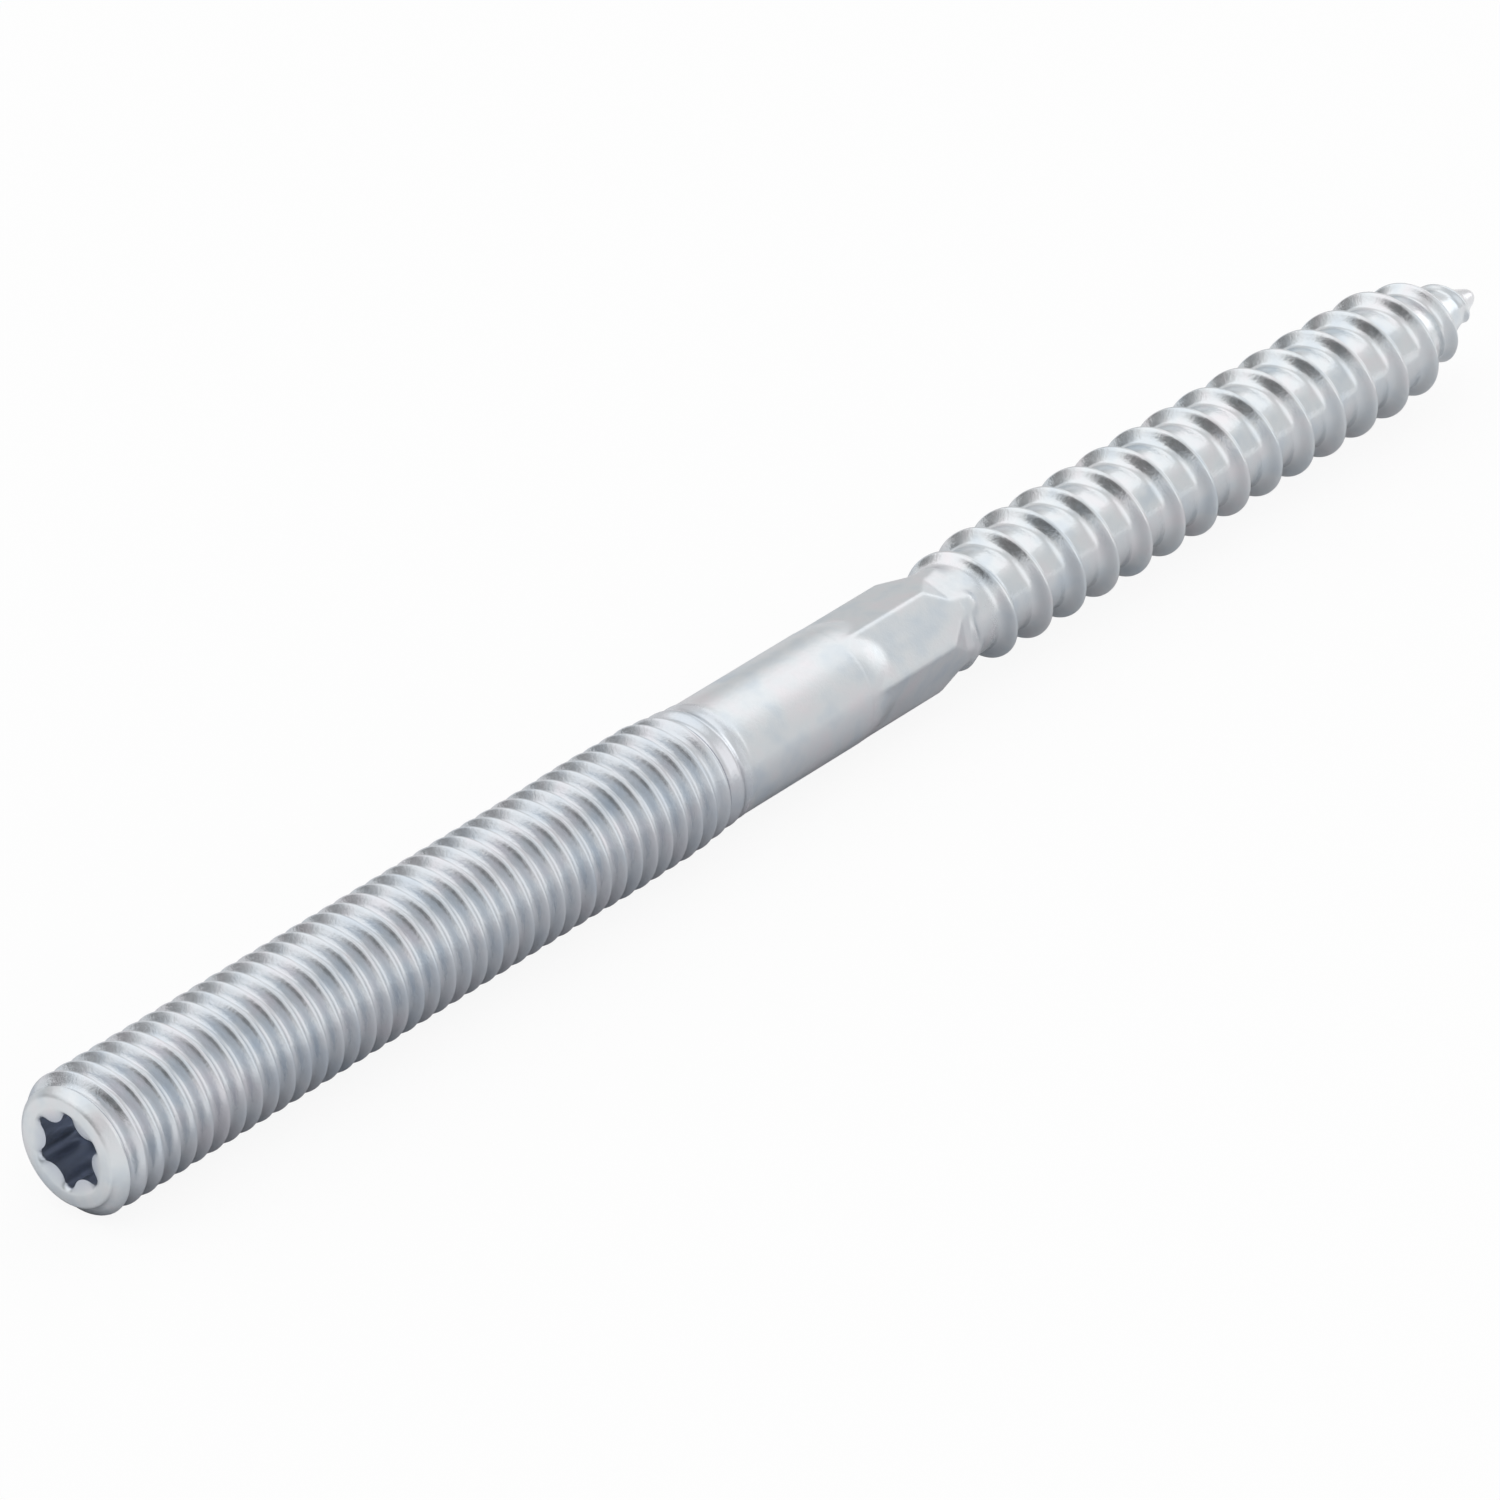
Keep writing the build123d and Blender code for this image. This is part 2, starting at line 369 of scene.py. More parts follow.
@dataclass
class MachineThread:
    """The rolled M8 thread with its chamfered start and its run-out into the shank."""

    pitch: float = 1.25
    crest_radius: float = 3.94
    root_radius: float = 3.25
    crest_below: float = 0.92  # station of a crest straight below, within a pitch
    start: float = 0.12  # the rounded rim of the end face comes before this
    full_end: float = 47.2
    crest_lead: float = 0.8  # the crests start to sink this far before the roots start to rise
    runout_end: float = 50.4
    end: float = 51.0
    face_radius: float = 3.15
    chamfer: float = 0.8
    shank_radius: float = 3.525
    rim_rounding: float = 0.12  # where the chamfer meets the crests
    lip: float = 0.035  # the rolls leave this small step at the end of the run-out
    lip_length: float = 0.2
    most: float = 3.985  # the swollen crests are held to this radius
    steps: int = 64
    gloss: float = 0.78  # share of the wood thread's burnish
    blue: float = 0.25  # share of the recess's darker blue that the machine thread is given
    gloss_in: tuple[float, float] = (0.6, 1.2)  # stations between which both come in
    gloss_out: tuple[float, float] = (50.0, 50.4)  # and between which they go
    # Where the thread was rolled fuller: station of the middle, reach to each side, added radius
    bulges: tuple[tuple[float, float, float], ...] = ((2.0, 5.0, 0.055), (41.5, 3.0, 0.055))

    def outline(self) -> list[tuple[float, float]]:
        """Draw one pitch of the thread: a rounded crest, 60 degree flanks and a rounded root.

        Returns:
            Place along the pitch and radius of each point, from one crest to the next.
        """
        high, low = self.crest_radius, self.root_radius
        half = [
            (0.0, high),
            (0.05, high - 0.012),
            (0.1, high - 0.06),
            (0.2, high - 0.22),
            (0.34, high - 0.45),
            (0.45, low + 0.06),
            (0.53, low + 0.012),
            (self.pitch / 2, low),
        ]
        return half + [(self.pitch - along, radius) for along, radius in reversed(half[:-1])]

    def radius_at(self, station: float, turn: float, radius: float) -> float:
        """Fade the thread into the shank, swell it where it was rolled fuller, chamfer its start.

        Args:
            station: Millimetres from the machine end.
            turn: Direction from straight down, in radians; the thread is the same all round.
            radius: Radius of the plain winding there.

        Returns:
            The finished thread's radius there.
        """
        share = (radius - self.root_radius) / (self.crest_radius - self.root_radius)
        crest_fade = ramp(station, self.full_end - self.crest_lead, self.runout_end, 1, 0)
        root_fade = ramp(station, self.full_end, self.runout_end, 1, 0)
        swell = sum(
            size * max(0.0, 1 - abs(station - at) / reach) for at, reach, size in self.bulges
        )
        crest = self.shank_radius + (self.crest_radius + swell - self.shank_radius) * crest_fade
        root = self.shank_radius + (self.root_radius - self.shank_radius) * root_fade
        cone = self.face_radius + (station / self.chamfer) * (self.crest_radius - self.face_radius)
        past_lip = ramp(station, self.runout_end, self.runout_end + self.lip_length, 1, 0)
        lip = self.lip * min(1 - crest_fade, past_lip)
        rolled = root + (crest - root) * share + lip
        return min(soft_least(rolled, cone, self.rim_rounding), self.most)

    def build(self) -> bpy.types.Object:
        """Wind the thread, shape it and cut both ends square.

        Returns:
            The machine-thread length, open at both ends.
        """
        made = Helix(
            name="machine_thread",
            pitch=self.pitch,
            crest_at=self.crest_below,
            start=0.0,
            end=self.end,
            steps=self.steps,
            outline=self.outline(),
        ).build()
        cut(made, self.start, Side.MACHINE_END)
        cut(made, self.end, Side.POINT)
        shape(made, self.radius_at)
        return made


@dataclass(frozen=True)
class Hexagon:
    """The pressed flats, and the sloping planes that cut their corners back to the core."""

    shank_radius: float = 3.525
    root_radius: float = 2.8
    turn: float = 16.7  # a corner's turn from straight down
    corner_end: float = 67.7
    slope: float = 0.38  # fall of the planes behind the corners
    ease_radius: float = 2.95  # the planes fall more gently below this radius
    ease: float = 0.3  # share of the slope that is left there
    strip_ends: tuple[float, float] = (70.5, 71.4)  # the flats' last strips sink into the core
    rounding: float = 0.09  # rounding of the pressed edges

    @property
    def flat_radius(self) -> float:
        """Distance of the flats from the axis, their corners level with the shank."""
        return self.shank_radius * cos(SIXTH_TURN / 2)

    def from_corner(self, turn: float) -> float:
        """Give the angle between a direction and the nearest corner."""
        return from_nearest_sixth(turn, self.turn)

    def flat(self, turn: float) -> float:
        """Give the radius of the flats in one direction."""
        return self.flat_radius / cos(SIXTH_TURN / 2 - self.from_corner(turn))

    def plane(self, station: float, turn: float) -> float:
        """Give the radius of the sloping planes.

        Args:
            station: Millimetres from the machine end.
            turn: Direction from straight down, in radians.

        Returns:
            Their radius there.
        """
        middle = self.shank_radius - self.slope * (station - self.corner_end)
        if middle < self.ease_radius:
            middle = self.ease_radius - (self.ease_radius - middle) * self.ease
        return middle / cos(self.from_corner(turn))

    def neck(self, station: float, turn: float) -> float:
        """Give the radius where flats and planes run out on the thread's round core.

        Args:
            station: Millimetres from the machine end.
            turn: Direction from straight down, in radians.

        Returns:
            The neck's radius there.
        """
        cut_back = soft_least(self.flat(turn), self.plane(station, turn), self.rounding)
        sunk = smooth(ramp(station, *self.strip_ends, 0, 1))
        fallen = cut_back + (self.root_radius - cut_back) * sunk
        return soft_most(fallen, self.root_radius, self.rounding)


@dataclass
class WoodThread:
    """The coarse wood thread that grows out of the neck and runs down the gimlet point."""

    pitch: float = 3.0
    crest_radius: float = 3.675
    root_radius: float = 2.8
    crest_below: float = 70.74
    start: float = 69.75
    end: float = 119.97
    rise_start: float = 69.8
    rise: float = 4.4
    rise_power: float = 0.45
    core_start: float = 111.5
    core_power: float = 1.3
    crest_start: float = 110.5
    crest_power: float = 1.8
    tip_radius: float = 0.34
    dome: float = 0.6  # length of the rounded tip
    tip_ridge: float = 0.25  # the ridge keeps at least this height until just before the tip
    tip_ridge_fade: float = 1.2  # length over which it then goes
    core_rolled: tuple[float, float] = (71.2, 72.8)  # between these the core turns glossy
    ridge_rolled: tuple[float, float] = (0.05, 0.25)  # and the ridge between these heights
    steps: int = 108
    hexagon: Hexagon = Hexagon()

    def outline(self) -> list[tuple[float, float]]:
        """Draw one pitch of the thread: a narrow crest on steep flanks and a broad root.

        Returns:
            Place along the pitch and radius of each point, from one crest to the next.
        """
        high, deep = self.crest_radius, self.crest_radius - self.root_radius
        half = [
            (0.0, high),
            (0.07, high - 0.01 * deep),
            (0.12, high - 0.07 * deep),
            (0.2, high - 0.25 * deep),
            (0.31, high - 0.5 * deep),
            (0.42, high - 0.73 * deep),
            (0.53, high - 0.88 * deep),
            (0.67, high - 0.96 * deep),
            (0.84, high - 0.99 * deep),
            (1.02, self.root_radius),
            (1.18, self.root_radius),
            (1.34, self.root_radius),
            (self.pitch / 2, self.root_radius),
        ]
        return half + [(self.pitch - along, radius) for along, radius in reversed(half[:-1])]

    def core(self, station: float, turn: float) -> float:
        """Give the radius between the ridges: the neck, the straight core and the point.

        Args:
            station: Millimetres from the machine end.
            turn: Direction from straight down, in radians.

        Returns:
            The core's radius there.
        """
        if station < self.core_start:
            return self.hexagon.neck(station, turn)
        core = ramp(
            station, self.core_start, LENGTH, self.root_radius, self.tip_radius, self.core_power
        )
        into_dome = ramp(station, LENGTH - self.dome, LENGTH, 0, 1)
        return core * (1 - into_dome**2) ** 0.5

    def radius_at(self, station: float, turn: float, radius: float) -> float:
        """Raise the ridge out of the neck and bring it down along the point.

        Args:
            station: Millimetres from the machine end.
            turn: Direction from straight down, in radians.
            radius: Radius of the plain winding there.

        Returns:
            The finished thread's radius there.
        """
        share = (radius - self.root_radius) / (self.crest_radius - self.root_radius)
        core = self.core(station, turn)
        rise = ramp(
            station,
            self.rise_start,
            self.rise_start + self.rise,
            self.root_radius,
            self.crest_radius,
            self.rise_power,
        )
        point = ramp(station, self.crest_start, LENGTH, self.crest_radius, 0, self.crest_power)
        if station > self.core_start:
            least = self.tip_ridge * ramp(station, LENGTH - self.tip_ridge_fade, LENGTH, 1, 0)
            point = max(point, core + least)
        crest = max(core, min(rise, point))
        return core + (crest - core) * share

    def build(self) -> bpy.types.Object:
        """Wind the thread, shape it, cut it square at the neck and close it at the tip.

        Returns:
            The wood-thread length, open at the neck.
        """
        made = Helix(
            name="wood_thread",
            pitch=self.pitch,
            crest_at=self.crest_below,
            start=self.start,
            end=LENGTH,
            steps=self.steps,
            outline=self.outline(),
        ).build()
        cut(made, self.start, Side.MACHINE_END)
        cut(made, self.end, Side.POINT)
        shape(made, self.radius_at)
        edit(made, "EDGE")
        mesh = bmesh.from_edit_mesh(made.data)
        for edge in mesh.edges:
            near = all(station_of(point.co) > self.end - SEAM_MARGIN for point in edge.verts)
            edge.select_set(near and edge.is_boundary)
        bmesh.update_edit_mesh(made.data)
        bpy.ops.mesh.extrude_region_move()
        bpy.ops.mesh.merge(type="CENTER")
        bpy.ops.object.mode_set(mode="OBJECT")
        return made


@dataclass
class PressedShank:
    """The plain shank with the pressed hexagon, and the start of the neck behind it."""

    shank_radius: float = 3.525
    start: float = 51.05
    hex_start: float = 60.6
    nose: float = 2.5  # length of the shoulder over each flat
    nose_power: float = 1.6  # 1 would be a straight slope, more is a blunter shoulder
    nose_sink: float = 0.05  # the shoulder ends this far under the flat
    nose_rounding: float = 0.12
    end: float = 69.7
    hexagon: Hexagon = Hexagon()
    around: int = 144
    first_ring: float = 0.6  # from the start
    plain_rings: tuple[float, ...] = (56.0, 59.6)
    row: float = 0.1  # between the rings of the pressed length
    row_lead: float = 0.5  # which start this far before the shoulders

    def radius_at(self, station: float, turn: float, radius: float) -> float:
        """Press the six flats into the round shank, each with its blunt shoulder.

        Args:
            station: Millimetres from the machine end.
            turn: Direction from straight down, in radians.
            radius: Radius of the plain shank, the same everywhere and so not used.

        Returns:
            The pressed shank's radius there.
        """
        along = (station - self.hex_start) / self.nose
        if along < 0:
            return self.shank_radius
        deep = self.hexagon.flat_radius - self.nose_sink
        shoulder = self.shank_radius - (self.shank_radius - deep) * min(along, 1) ** self.nose_power
        pressed = soft_most(self.hexagon.flat(turn), shoulder, self.nose_rounding)
        pressed = soft_least(pressed, self.shank_radius, self.hexagon.rounding)
        return soft_least(pressed, self.hexagon.plane(station, turn), self.hexagon.rounding)

    def build(self) -> bpy.types.Object:
        """Extrude the shank ring by ring and press the hexagon into it.

        Returns:
            The shank length, open at both ends.
        """
        made = ring("pressed_shank", self.around, self.start, self.shank_radius)
        rows = int((self.end - self.hex_start + self.row_lead) / self.row)
        fine = [self.end - self.row * back for back in range(rows, -1, -1)]
        draw_out(made, [self.start + self.first_ring, *self.plain_rings, *fine])
        shape(made, self.radius_at)
        return made


@dataclass
class DriverRecess:
    """The rounded end face with the six-lobed recess punched into it."""

    face_radius: float = 3.15
    mouth_radius: float = 2.4
    tip_radius: float = 2.25
    waist_radius: float = 1.63
    lobe_radius: float = 0.38
    mouth_depth: float = 0.22
    depth: float = 3.0
    cone_depth: float = 0.5
    turn: float = 0.7
    around: int = 144
    # Rings of the rounded rims: station, and radius beyond the face's or the mouth's
    face_rim: tuple[tuple[float, float], ...] = ((0.06, 0.03), (0.02, -0.03), (0.0, -0.12))
    mouth_rim: tuple[tuple[float, float], ...] = ((0.0, 0.12), (0.02, 0.0))
    wall_ring: float = 0.12  # one more ring this far below the bevel keeps the walls' foot crisp
    painted_shade_in: tuple[float, float] = (0.03, 0.27)  # stations between which the recess's darker blue, a painted shade, comes in

    def lobed(self, turn: float) -> float:
        """Give the recess's outline radius in one direction.

        Args:
            turn: Direction from straight down, in radians.

        Returns:
            The radius where the rounded lobes and the inward bulges meet that direction.
        """
        half = SIXTH_TURN / 2
        reach = self.tip_radius - self.lobe_radius
        bulge = (
            reach**2
            + self.waist_radius**2
            - 2 * reach * self.waist_radius * cos(half)
            - self.lobe_radius**2
        ) / (2 * (self.lobe_radius - self.waist_radius + reach * cos(half)))
        far = self.waist_radius + bulge
        away = from_nearest_sixth(turn, self.turn)
        share = self.lobe_radius / (self.lobe_radius + bulge)
        joint = atan2(share * far * sin(half), reach + share * (far * cos(half) - reach))
        if away < joint:
            across = reach * sin(away)
            return reach * cos(away) + max(self.lobe_radius**2 - across**2, 0.0) ** 0.5
        across = far * sin(half - away)
        return far * cos(half - away) - max(bulge**2 - across**2, 0.0) ** 0.5

    def build(self) -> bpy.types.Object:
        """Extrude the end face from its rounded rim inwards and down the recess to its coned floor.

        Returns:
            The end face with its recess, open at its outer rim.
        """
        rounds = [(station, self.face_radius + beyond) for station, beyond in self.face_rim]
        rounds += [(station, self.mouth_radius + beyond) for station, beyond in self.mouth_rim]
        walls = (self.mouth_depth, self.mouth_depth + self.wall_ring, self.depth)
        made = ring("driver_recess", self.around, *rounds[0])
        edit(made)
        bpy.ops.mesh.select_all(action="SELECT")
        for station, radius in rounds[1:] + [(station, None) for station in walls]:
            bpy.ops.mesh.extrude_region_move()
            mesh = bmesh.from_edit_mesh(made.data)
            for point in mesh.verts:
                if point.select:
                    _, turn = turned(point.co)
                    wanted = self.lobed(turn) if radius is None else radius
                    point.co = place(station, wanted, turn)
            bmesh.update_edit_mesh(made.data)
        bpy.ops.mesh.extrude_region_move()
        bpy.ops.mesh.merge(type="CENTER")
        mesh = bmesh.from_edit_mesh(made.data)
        for point in mesh.verts:
            if point.select:
                point.co = place(self.depth + self.cone_depth, 0, 0)
        bmesh.update_edit_mesh(made.data)
        bpy.ops.object.mode_set(mode="OBJECT")
        return made


# Finishes


def add_node(
    tree: bpy.types.NodeTree,
    kind: str,
    settings: dict[str | int, object],
    links: dict[str | int, bpy.types.NodeSocket] | None = None,
) -> bpy.types.Node:
    """Add one node, set it up and wire it.

    Args:
        tree: The node tree that it goes into.
        kind: Blender's name for the kind of node.
        settings: Values by socket name, or by attribute name where the node has one.
        links: Output sockets to wire in, by input socket name or number.

    Returns:
        The new node.
    """
    node = tree.nodes.new(kind)
    for name, value in settings.items():
        if isinstance(name, str) and hasattr(node, name):
            setattr(node, name, value)
        else:
            node.inputs[name].default_value = value
    for name, source in (links or {}).items():
        tree.links.new(source, node.inputs[name])
    return node


@dataclass(frozen=True)
class ZincPlate:
    """Bright zinc plating, blue-passivated, on rolled and pressed steel.

    It gives a cool pale metal with a faint drift of tint: satin where the drawn blank was left,
    glossier where the rolls bit, a little bluer on the machine thread, and a darker blue painted
    down in the recess as its shade.
    """

    name: str = "zinc_plated_rolled_steel"
    cool: str = "#CDD5DC"
    pale: str = "#DADEE1"
    warm: str = "#DFDDE0"
    # darker blue: painted shade down in the recess, and a quarter of it on the machine thread
    recess: str = "#BAC0CC"
    drift_size: float = 2.5  # mm over which the passivation changes its tint
    drift_detail: float = 2.0
    mottle_size: float = 0.22  # mm between the crystals' glossier and duller spots
    mottle_detail: float = 4.0
    grain: float = 0.6  # how strongly the finer layers of both count
    spread: tuple[float, float] = (0.3, 0.7)  # the part of the noise that is used
    # Neither range crosses a roughness of about 0.27, where the denoiser would leave grain
    satin: tuple[float, float] = (0.3, 0.4)
    burnished: tuple[float, float] = (0.15, 0.22)
    relief: float = 0.4  # strength of the crystals' relief
    relief_height: float = 0.03  # and its height in mm
    rolled_mask: str = "rolled"
    # mask of the bluer machine thread and of the painted shade in the recess
    blue_tint_and_shade_mask: str = "blue"

    def dress(self) -> bpy.types.Material:
        """Make the material.

        Returns:
            The plating, patterned in the screw's own coordinates and by its two masks.
        """
        made = bpy.data.materials.new(self.name)
        made.use_nodes = True
        tree = made.node_tree
        tree.nodes.clear()
        where = add_node(tree, "ShaderNodeTexCoord", {})
        rolled = add_node(tree, "ShaderNodeAttribute", {"attribute_name": self.rolled_mask})
        bluer_and_shaded = add_node(tree, "ShaderNodeAttribute", {"attribute_name": self.blue_tint_and_shade_mask})
        drift = self.noise(tree, where, self.drift_size, self.drift_detail)
        tint = add_node(tree, "ShaderNodeValToRGB", {}, {"Fac": drift.outputs["Fac"]})
        stops = tint.color_ramp.elements
        stops[0].position, stops[0].color = self.spread[0], linear(self.cool)
        stops[1].position, stops[1].color = self.spread[1], linear(self.warm)
        stops.new(0.5).color = linear(self.pale)
        # mixes in the darker blue: painted shade in the recess, and a little of it on the machine
        # thread
        colour = add_node(
            tree,
            "ShaderNodeMix",
            {"data_type": "RGBA", MIX_TO_COLOUR: linear(self.recess)},
            {MIX_SHARE: bluer_and_shaded.outputs["Fac"], MIX_FROM_COLOUR: tint.outputs["Color"]},
        )
        mottle = self.noise(tree, where, self.mottle_size, self.mottle_detail)
        low = self.blend(tree, rolled, self.satin[0], self.burnished[0])
        high = self.blend(tree, rolled, self.satin[1], self.burnished[1])
        gloss = add_node(
            tree,
            "ShaderNodeMapRange",
            {"From Min": self.spread[0], "From Max": self.spread[1]},
            {
                "Value": mottle.outputs["Fac"],
                "To Min": low.outputs["Result"],
                "To Max": high.outputs["Result"],
            },
        )
        bump = add_node(
            tree,
            "ShaderNodeBump",
            {"Strength": self.relief, "Distance": self.relief_height * MM},
            {"Height": mottle.outputs["Fac"]},
        )
        metal = add_node(
            tree,
            "ShaderNodeBsdfPrincipled",
            {"Metallic": 1.0},
            {
                "Base Color": colour.outputs[MIXED_COLOUR],
                "Roughness": gloss.outputs["Result"],
                "Normal": bump.outputs["Normal"],
            },
        )
        add_node(tree, "ShaderNodeOutputMaterial", {}, {"Surface": metal.outputs["BSDF"]})
        return made

    def noise(
        self, tree: bpy.types.NodeTree, where: bpy.types.Node, size: float, detail: float
    ) -> bpy.types.Node:
        """Add a noise whose features are about a given size.

        Args:
            tree: The node tree that it goes into.
            where: The texture coordinates.
            size: Size of a feature in millimetres.
            detail: How many finer layers it has.

        Returns:
            The noise node.
        """
        return add_node(
            tree,
            "ShaderNodeTexNoise",
            {"Scale": 1 / (size * MM), "Detail": detail, "Roughness": self.grain},
            {"Vector": where.outputs["Object"]},
        )

    def blend(
        self, tree: bpy.types.NodeTree, mask: bpy.types.Node, off: float, on: float
    ) -> bpy.types.Node:
        """Add a value that changes from one level to another with a mask.

        Args:
            tree: The node tree that it goes into.
            mask: The mask's attribute node.
            off: Value where the mask is 0.
            on: Value where the mask is 1.

        Returns:
            The node that gives the value.
        """
        return add_node(
            tree,
            "ShaderNodeMapRange",
            {"To Min": off, "To Max": on},
            {"Value": mask.outputs["Fac"]},
        )


@dataclass(frozen=True)
class Paper:
    """Matt white studio paper: a white ground that still takes the screw's soft shadow.

    For glossy rays a painted shade makes it greyer close beside the screw, which the metal mirrors,
    as the photograph's undersides show it, and lighter under the wood thread and past both ends.
    """

    name: str = "matt_white_paper"
    colour: str = "#F2F2F2"
    painted_shade_under: str = "#98999D"  # painted shade, mirrored from beneath the screw
    beside: str = "#CBCBCE"  # lighter painted shade, mirrored from close beside it
    beyond: str = "#FAFAFA"  # mirrored from far off
    under_at: float = 1.2 * MM  # all three from below the screw's axis
    beside_at: float = 3.6 * MM
    beyond_at: float = 80 * MM
    past_ends: tuple[float, float] = (59.5 * MM, 64 * MM)  # where the painted shade goes from grey to white along the axis
    point_side: tuple[float, float] = (5 * MM, 25 * MM)  # where the painted shade lightens towards the point
    point_lift: float = 0.42  # share of the way to white that it reaches there
    seen_light: float = 0.9  # share of its own white in what the camera sees

    def dress(self) -> bpy.types.Material:
        """Make the material.

        Returns:
            Matt paper that the camera sees as white, and that glossy rays see with a painted shade
            about the screw.
        """
        made = bpy.data.materials.new(self.name)
        made.use_nodes = True
        tree = made.node_tree
        tree.nodes.clear()
        seen = add_node(tree, "ShaderNodeLightPath", {})
        share = add_node(
            tree,
            "ShaderNodeMath",
            {"operation": "MULTIPLY", 1: self.seen_light},
            {0: seen.outputs["Is Camera Ray"]},
        )
        # painted shade for glossy rays: the paper mirrored grey beneath the screw and white far off
        mirrored_painted_shade = add_node(tree, "ShaderNodeValToRGB", {}, {"Fac": self.lightness(tree)})
        stops = mirrored_painted_shade.color_ramp.elements
        stops[0].position, stops[0].color = self.under_at / self.beyond_at, linear(self.painted_shade_under)
        stops[1].color = linear(self.beyond)
        stops.new(self.beside_at / self.beyond_at).color = linear(self.beside)
        tone = add_node(
            tree,
            "ShaderNodeMix",
            {"data_type": "RGBA", MIX_FROM_COLOUR: linear(self.colour)},
            {MIX_SHARE: seen.outputs["Is Glossy Ray"], MIX_TO_COLOUR: mirrored_painted_shade.outputs["Color"]},
        )
        matt = add_node(tree, "ShaderNodeBsdfDiffuse", {}, {"Color": tone.outputs[MIXED_COLOUR]})
        white = add_node(tree, "ShaderNodeEmission", {"Color": WHITE, "Strength": 1.0})
        both = add_node(
            tree,
            "ShaderNodeMixShader",
            {},
            {0: share.outputs[0], 1: matt.outputs["BSDF"], 2: white.outputs["Emission"]},
        )
        add_node(tree, "ShaderNodeOutputMaterial", {}, {"Surface": both.outputs["Shader"]})
        return made

    def lightness(self, tree: bpy.types.NodeTree) -> bpy.types.NodeSocket:
        """Work out how far the painted shade that glossy rays see on the paper has lightened
        towards white at each place.

        Args:
            tree: The node tree that it goes into.

        Returns:
            The socket that gives it, 0 beneath the axis and 1 far off.
        """
        where = add_node(tree, "ShaderNodeTexCoord", {})
        apart = add_node(tree, "ShaderNodeSeparateXYZ", {}, {0: where.outputs["Object"]})
        away = self.maths(tree, "ABSOLUTE", apart.outputs["Y"])
        along = self.maths(tree, "ABSOLUTE", apart.outputs["X"])
        beside = self.maths(tree, "DIVIDE", away, self.beyond_at)
        past = add_node(
            tree,
            "ShaderNodeMapRange",
            {"From Min": self.past_ends[0], "From Max": self.past_ends[1]},
            {"Value": along},
        )
        near, far = self.point_side
        lifted = add_node(
            tree,
            "ShaderNodeMapRange",
            {"From Min": near, "From Max": far, "To Max": self.point_lift},
            {"Value": apart.outputs["X"]},
        )
        open_floor = self.maths(tree, "MAXIMUM", beside, past.outputs[0])
        return self.maths(tree, "MAXIMUM", open_floor, lifted.outputs[0])

    @staticmethod
    def maths(
        tree: bpy.types.NodeTree,
        operation: str,
        first: bpy.types.NodeSocket,
        second: bpy.types.NodeSocket | float = 0.0,
    ) -> bpy.types.NodeSocket:
        """Add one step of reckoning.

        Args:
            tree: The node tree that it goes into.
            operation: Blender's name for the step.
            first: The first value's socket.
            second: The second value, a number or a socket.

        Returns:
            The socket with the result.
        """
        settings: dict[str | int, object] = {"operation": operation}
        links: dict[str | int, bpy.types.NodeSocket] = {0: first}
        if isinstance(second, float):
            settings[1] = second
        else:
            links[1] = second
        return add_node(tree, "ShaderNodeMath", settings, links).outputs[0]


# The whole screw and its studio


@dataclass
class Screw:
    """The whole screw, its four lengths joined into one closed skin."""

    machine: MachineThread = field(default_factory=MachineThread)
    shank: PressedShank = field(default_factory=PressedShank)
    wood: WoodThread = field(default_factory=WoodThread)
    recess: DriverRecess = field(default_factory=DriverRecess)
    finish: ZincPlate = field(default_factory=ZincPlate)

    def build(self) -> bpy.types.Object:
        """Build the lengths, join them and close the seams between them.

        Returns:
            The screw as one watertight piece.
        """
        parts = (self.recess, self.machine, self.shank, self.wood)
        lengths = [part.build() for part in parts]
        deselect_all()
        for length in lengths:
            length.select_set(True)
        bpy.context.view_layer.objects.active = lengths[1]
        bpy.ops.object.join()
        made = bpy.context.object
        made.name = made.data.name = "screw_body"
        for before, after in (
            (self.recess.face_rim[0][0], self.machine.start),
            (self.machine.end, self.shank.start),
            (self.shank.end, self.wood.start),
        ):
            bridge(made, before - SEAM_MARGIN, after + SEAM_MARGIN)
        edit(made)
        bpy.ops.mesh.select_all(action="SELECT")
        bpy.ops.mesh.remove_doubles(threshold=SKIN_MERGE)
        bpy.ops.mesh.normals_make_consistent(inside=False)
        bpy.ops.object.mode_set(mode="OBJECT")
        bpy.ops.object.shade_smooth_by_angle(angle=radians(SMOOTH_UNDER))
        return made

    def dress(self, made: bpy.types.Object) -> None:
        """Give the screw its plating, with masks for the rolled lengths, the bluer machine thread
        and the recess's painted shade.

        Args:
            made: The screw, in object mode.
        """
        mesh = made.data
        rolled = mesh.attributes.new(self.finish.rolled_mask, "FLOAT", "POINT")
        bluer_and_shaded = mesh.attributes.new(self.finish.blue_tint_and_shade_mask, "FLOAT", "POINT")
        floor = self.recess.depth + self.recess.cone_depth + SEAM_MARGIN
        for point, gloss, blue in zip(mesh.vertices, rolled.data, bluer_and_shaded.data):
            radius, turn = turned(point.co)
            station = station_of(point.co)
            if station < floor and radius < self.recess.mouth_radius:
                gloss.value = 0.0
                # painted shade: the recess turns a darker blue with depth
                blue.value = ramp(station, *self.recess.painted_shade_in, 0, 1)
                continue
            machine = min(
                ramp(station, *self.machine.gloss_in, 0, 1),
                ramp(station, *self.machine.gloss_out, 1, 0),
            )
            wood = ramp(station, *self.wood.core_rolled, 0, 1)
            if station > self.wood.start:
                proud = radius - self.wood.core(station, turn)
                wood = max(wood, ramp(proud, *self.wood.ridge_rolled, 0, 1))
            gloss.value = max(machine * self.machine.gloss, wood)
            blue.value = machine * self.machine.blue
        mesh.materials.clear()
        mesh.materials.append(self.finish.dress())


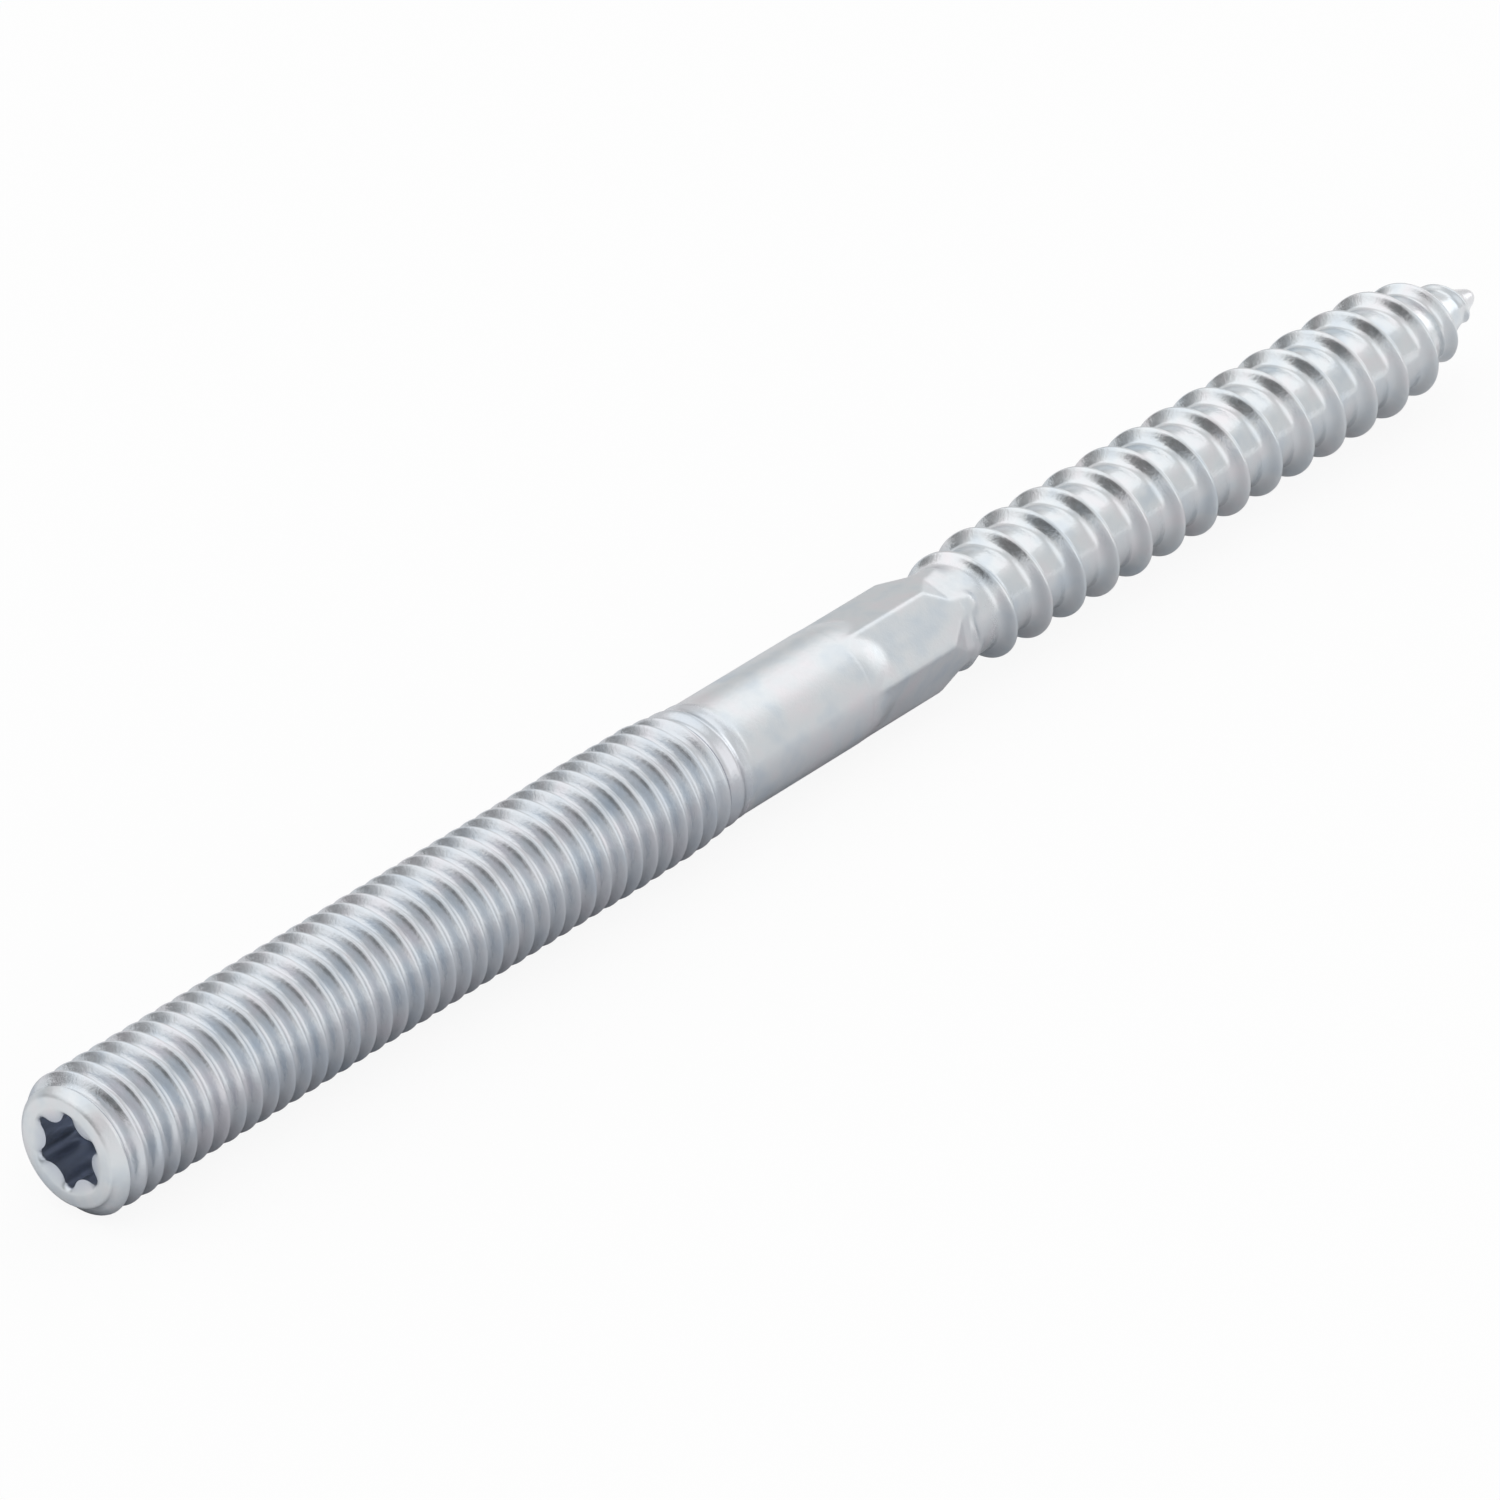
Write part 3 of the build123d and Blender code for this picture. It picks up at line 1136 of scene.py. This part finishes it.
@dataclass(frozen=True)
class Glow:
    """A part of the studio tent that is brighter or darker than the rest."""

    towards: tuple[float, float, float]  # its direction from the screw
    inner: float  # degrees from its middle where it is at full strength
    outer: float  # degrees from its middle where it has faded out
    change: float  # what it adds to the tent's level


@dataclass(frozen=True)
class Lamp:
    """A round soft lamp that points at the screw."""

    name: str
    at: tuple[float, float, float]  # metres
    size: float  # width in metres
    power: float  # watts


@dataclass
class Studio:
    """Pale floor, soft lamps and the camera at the photograph's viewing angle."""

    camera_at: tuple[float, float, float] = (-0.3644, -0.3046, 0.2895)
    yaw: float = 49.652  # degrees from the Y axis towards X
    pitch: float = 31.336  # degrees that it looks down
    lens: float = 241.16
    sensor: float = 36.0
    sees_to: float = 20.0  # metres
    floor_size: float = 6.0
    lamps: tuple[Lamp, ...] = (
        Lamp("overhead_softbox", (0.52, 0.08, 0.6), 0.7, 0.36),
        Lamp("front_fill", (-0.1, -0.9, 0.45), 1.2, 0.5),
    )
    tent: float = 0.78  # the room's level where no glow changes it
    glows: tuple[Glow, ...] = (
        Glow((0.65, 0.1, 0.75), 20, 44, 0.15),  # the wide soft window above
        Glow((0.97, -0.15, 0.2), 8, 20, 0.75),  # the bright end of the tent
        Glow((-0.97, 0.02, 0.25), 11, 23, -0.62),  # the gap where the tent is open
        Glow((-0.5, 0.86, 0.08), 12, 26, -0.5),  # its far corner
        Glow((-0.35, -0.85, 0.35), 8, 44, 0.24),  # the lit wall beside the camera
        Glow((-0.5, 0.47, 0.73), 22, 44, 0.46),  # the white panel behind its near end
        Glow((0.655, 0.72, 0.25), 5, 18, -0.15),  # the greyer wall behind it
    )

    def build(self) -> None:
        """Lay the floor, hang the lamps and set the camera up."""
        deselect_all()
        bpy.ops.mesh.primitive_plane_add(size=self.floor_size, location=(0, 0, 0))
        floor = bpy.context.object
        floor.name = "studio_floor"
        floor.data.materials.append(Paper().dress())
        for lamp in self.lamps:
            self.hang(lamp)
        self.sky()
        data = bpy.data.cameras.new("camera")
        data.lens = self.lens
        data.sensor_width = self.sensor
        data.clip_end = self.sees_to
        camera = bpy.data.objects.new("camera", data)
        camera.location = self.camera_at
        camera.rotation_euler = (radians(90 - self.pitch), 0, radians(-self.yaw))
        bpy.context.scene.collection.objects.link(camera)
        bpy.context.scene.camera = camera

    def hang(self, lamp: Lamp) -> None:
        """Hang one soft lamp.

        Args:
            lamp: What it is and where it hangs.
        """
        data = bpy.data.lights.new(lamp.name, "AREA")
        data.shape = "DISK"
        data.size = lamp.size
        data.energy = lamp.power
        hung = bpy.data.objects.new(lamp.name, data)
        hung.location = lamp.at
        hung.rotation_euler = (-Vector(lamp.at)).to_track_quat("-Z", "Y").to_euler()
        bpy.context.scene.collection.objects.link(hung)

    def sky(self) -> None:
        """Light the room: white where the camera looks past the floor, a soft tent elsewhere."""
        world = bpy.data.worlds.new("room")
        bpy.context.scene.world = world
        world.use_nodes = True
        tree = world.node_tree
        tree.nodes.clear()
        where = add_node(tree, "ShaderNodeTexCoord", {})
        level = add_node(tree, "ShaderNodeValue", {})
        level.outputs[0].default_value = self.tent
        for glow in self.glows:
            facing = add_node(
                tree,
                "ShaderNodeVectorMath",
                {"operation": "DOT_PRODUCT", 1: Vector(glow.towards).normalized()},
                {0: where.outputs["Generated"]},
            )
            change = add_node(
                tree,
                "ShaderNodeMapRange",
                {
                    "interpolation_type": "SMOOTHSTEP",
                    "From Min": cos(radians(glow.outer)),
                    "From Max": cos(radians(glow.inner)),
                    "To Min": 0.0,
                    "To Max": glow.change,
                },
                {"Value": facing.outputs["Value"]},
            )
            level = add_node(
                tree,
                "ShaderNodeMath",
                {"operation": "ADD"},
                {0: change.outputs["Result"], 1: level.outputs[0]},
            )
        seen = add_node(tree, "ShaderNodeLightPath", {})
        shown = add_node(
            tree,
            "ShaderNodeMix",
            {"data_type": "FLOAT", MIX_TO_NUMBER: 1.0},
            {MIX_SHARE: seen.outputs["Is Camera Ray"], MIX_FROM_NUMBER: level.outputs[0]},
        )
        back = add_node(
            tree,
            "ShaderNodeBackground",
            {"Color": WHITE},
            {"Strength": shown.outputs[MIXED_NUMBER]},
        )
        add_node(tree, "ShaderNodeOutputWorld", {}, {"Surface": back.outputs["Background"]})


def main() -> None:
    """Build the studio and the screw, and report each piece."""
    logging.basicConfig(level=logging.INFO, format="%(message)s")
    bpy.context.scene.view_settings.view_transform = "Standard"
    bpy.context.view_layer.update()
    Studio().build()
    screw = Screw()
    body = screw.build()
    screw.dress(body)
    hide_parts(NODE)
    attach(body, "root")
    body.data.calc_loop_triangles()
    log.info("%s: %d triangles", body.name, len(body.data.loop_triangles))


if __name__ == "__main__":
    main()
